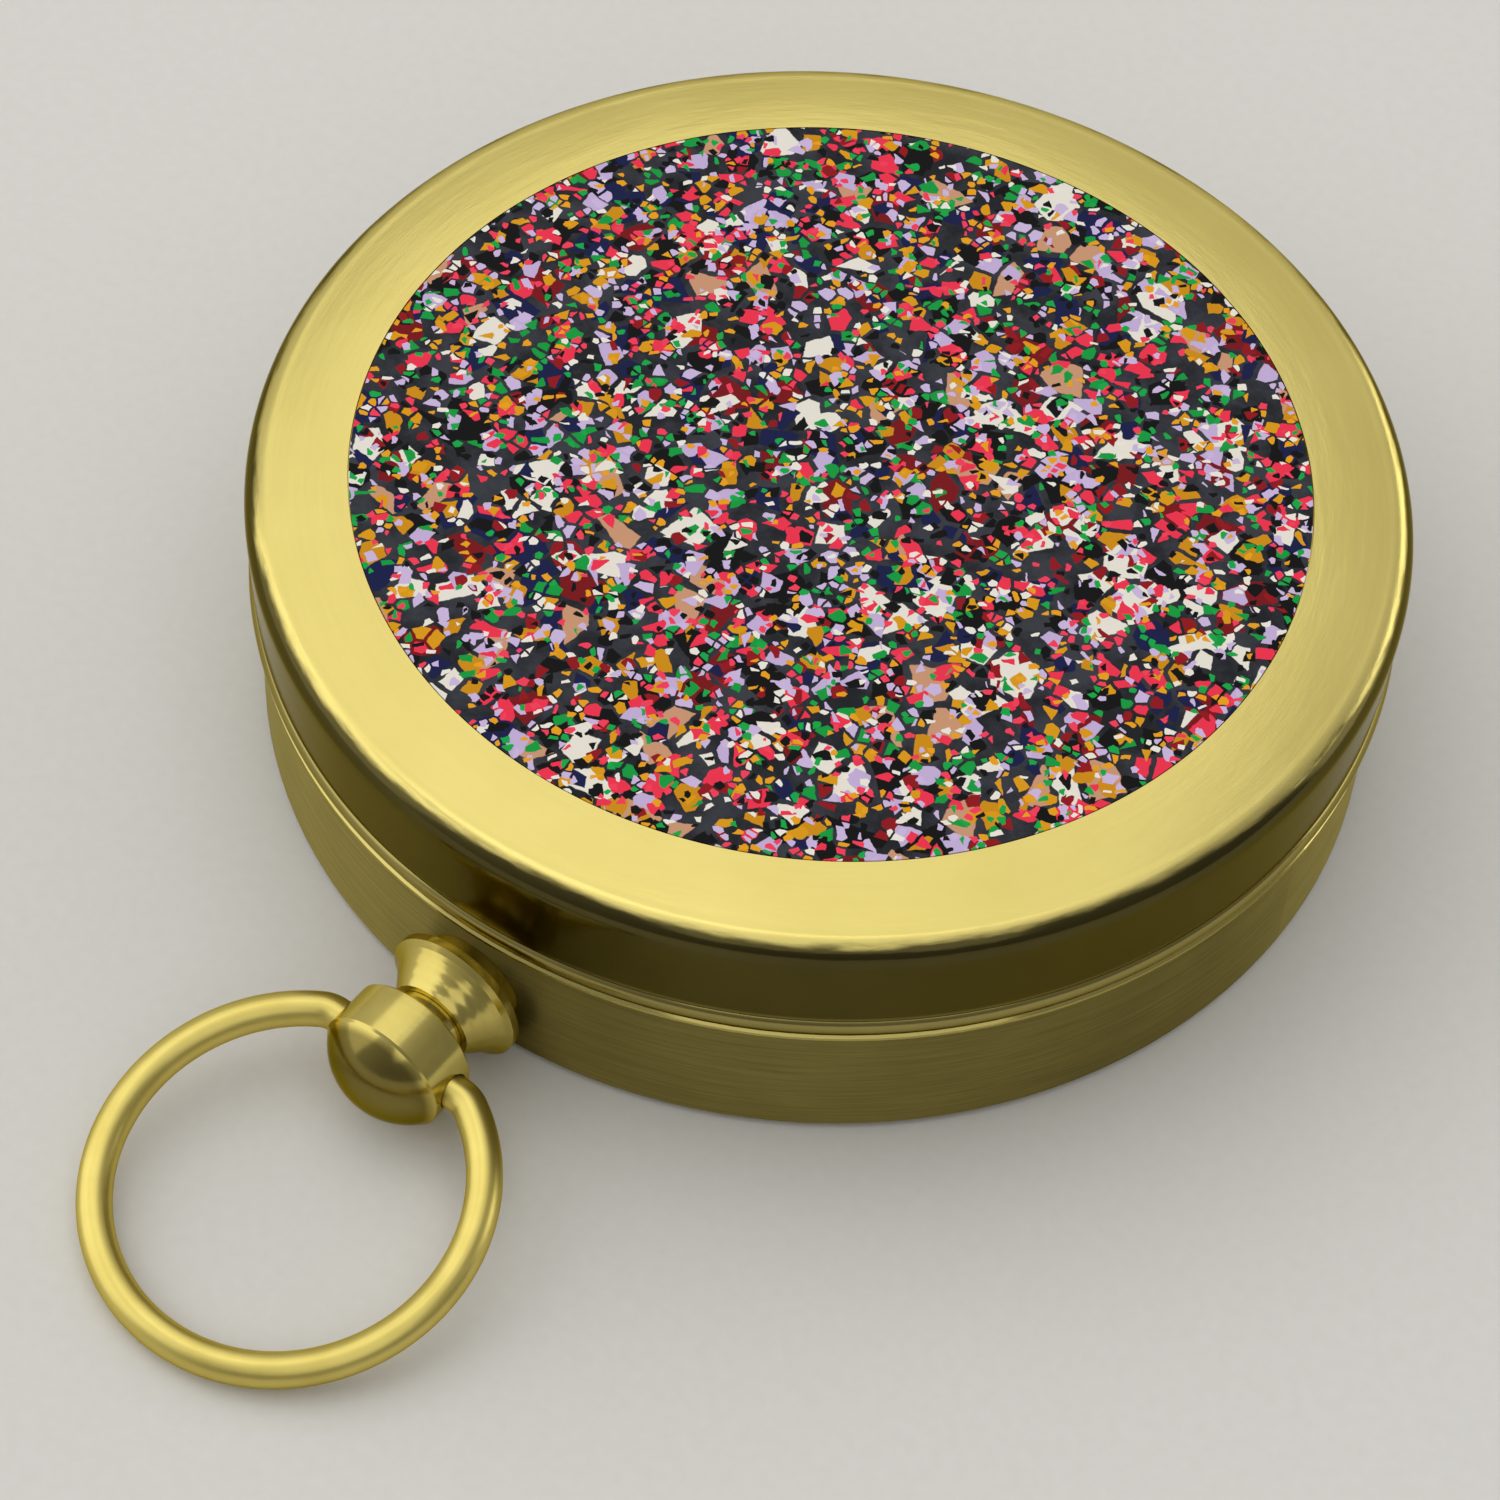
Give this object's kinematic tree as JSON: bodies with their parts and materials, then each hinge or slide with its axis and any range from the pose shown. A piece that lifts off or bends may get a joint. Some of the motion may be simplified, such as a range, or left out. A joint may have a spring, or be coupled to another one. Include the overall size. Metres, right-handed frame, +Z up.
{
  "type": "pocket compass",
  "caption": "Round brass pocket compass with a lift-off lid, a needle on a jewelled pivot under glass, and a swinging bail ring on a domed knob.",
  "frame": {"origin": "centre of the base's flat underside, on the surface that the case rests on", "axes": "+Z up through the lid, -Y out along the pendant and bail ring, +X to the right seen with the pendant towards the viewer"},
  "size_m": [0.05, 0.0701, 0.0134],
  "materials": {
    "lacquered_brass": "satin lacquered spun brass",
    "polished_brass": "turned and polished brass",
    "turned_brass": "small turned brass parts, plain",
    "printed_film": null,
    "silvered_brass": "silvered brass, fine circular grain",
    "printed_card": "printed card with a plain compass rose",
    "steel": "bright hardened steel",
    "blued_steel": "blued magnetised steel, north arm red",
    "jewel": "polished synthetic ruby",
    "crystal": "clear flat glass with a ground edge",
    "seal": "black rubber seal"
  },
  "bodies": {
    "case": {"case_base": "lacquered_brass", "chapter_ring": "silvered_brass", "dial_plate": "silvered_brass", "dial_card": "printed_card", "dial_screws": "turned_brass", "pivot_bush": "turned_brass", "pivot_pin": "steel", "glass_seal": "seal", "crystal": "crystal", "snap_ring": "turned_brass", "pendant_collar": "polished_brass", "pendant_knob": "polished_brass", "pendant_washer": "turned_brass", "pendant_screw": "steel"},
    "lid": {"lid_shell": "lacquered_brass", "lid_print_disc": "printed_film"},
    "bail": {"bail_ring": "polished_brass"},
    "needle": {"needle_blade": "blued_steel", "needle_cap": "turned_brass", "needle_jewel": "jewel", "needle_balance": "turned_brass"}
  },
  "joints": [
    {"name": "lid_lift", "type": "slide", "parent": "case", "child": "lid", "axis": [0, 0, 1], "range_m": [0, 0.02]},
    {"name": "bail_swing", "type": "hinge", "parent": "case", "child": "bail", "pos_m": [0, -0.0295, 0.00345], "axis": [-1, 0, 0], "range_deg": [-135, 126]},
    {"name": "needle_turn", "type": "hinge", "parent": "case", "child": "needle", "pos_m": [0, 0, 0.0055], "axis": [0, 0, 1], "continuous": true}
  ]
}
